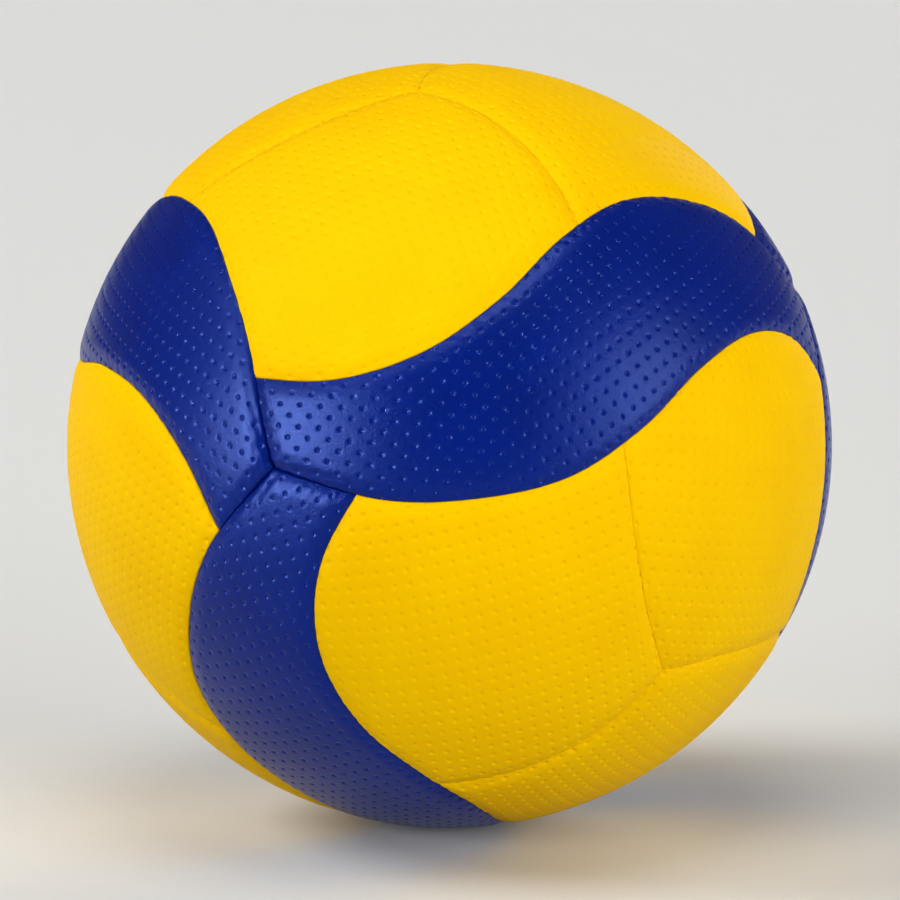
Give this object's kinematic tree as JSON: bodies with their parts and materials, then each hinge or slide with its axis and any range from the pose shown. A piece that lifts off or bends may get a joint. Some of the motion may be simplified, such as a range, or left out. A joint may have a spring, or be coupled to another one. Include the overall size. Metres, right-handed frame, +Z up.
{
  "type": "volleyball",
  "caption": "Inflated indoor ball: blue S-shaped strips and yellow panels glued over a wound bladder, with a hole for a pump needle.",
  "frame": {"origin": "middle of the ball", "axes": "+Z up as the ball lies in the picture, which looks along +Y from about ten degrees above; +Y along the valve's axis, out of the ball at the hidden back"},
  "size_m": [0.2099, 0.2099, 0.21],
  "materials": {
    "blue_leather": "dimpled microfibre leather with a fine grain and a soft sheen",
    "yellow_leather": "dimpled microfibre leather, nearly matte",
    "cushion_foam": "closed-cell foam, matte",
    "carcass_rubber": "moulded natural rubber, matte",
    "nylon_thread": "wound thread",
    "butyl_rubber": "moulded rubber, matte"
  },
  "bodies": {
    "root": {"blue_panel_1": "blue_leather", "blue_panel_2": "blue_leather", "blue_panel_3": "blue_leather", "blue_panel_4": "blue_leather", "blue_panel_5": "blue_leather", "blue_panel_6": "blue_leather", "yellow_panel_1": "yellow_leather", "yellow_panel_2": "yellow_leather", "yellow_panel_3": "yellow_leather", "yellow_panel_4": "yellow_leather", "yellow_panel_5": "yellow_leather", "yellow_panel_6": "yellow_leather", "yellow_panel_7": "yellow_leather", "yellow_panel_8": "yellow_leather", "yellow_panel_9": "yellow_leather", "yellow_panel_10": "yellow_leather", "yellow_panel_11": "yellow_leather", "yellow_panel_12": "yellow_leather", "blue_foam_1": "cushion_foam", "blue_foam_2": "cushion_foam", "blue_foam_3": "cushion_foam", "blue_foam_4": "cushion_foam", "blue_foam_5": "cushion_foam", "blue_foam_6": "cushion_foam", "yellow_foam_1": "cushion_foam", "yellow_foam_2": "cushion_foam", "yellow_foam_3": "cushion_foam", "yellow_foam_4": "cushion_foam", "yellow_foam_5": "cushion_foam", "yellow_foam_6": "cushion_foam", "yellow_foam_7": "cushion_foam", "yellow_foam_8": "cushion_foam", "yellow_foam_9": "cushion_foam", "yellow_foam_10": "cushion_foam", "yellow_foam_11": "cushion_foam", "yellow_foam_12": "cushion_foam", "carcass_skin": "carcass_rubber", "nylon_winding": "nylon_thread", "bladder": "butyl_rubber", "valve_patch": "carcass_rubber", "valve_housing": "butyl_rubber", "valve_core": "butyl_rubber"}
  },
  "joints": []
}
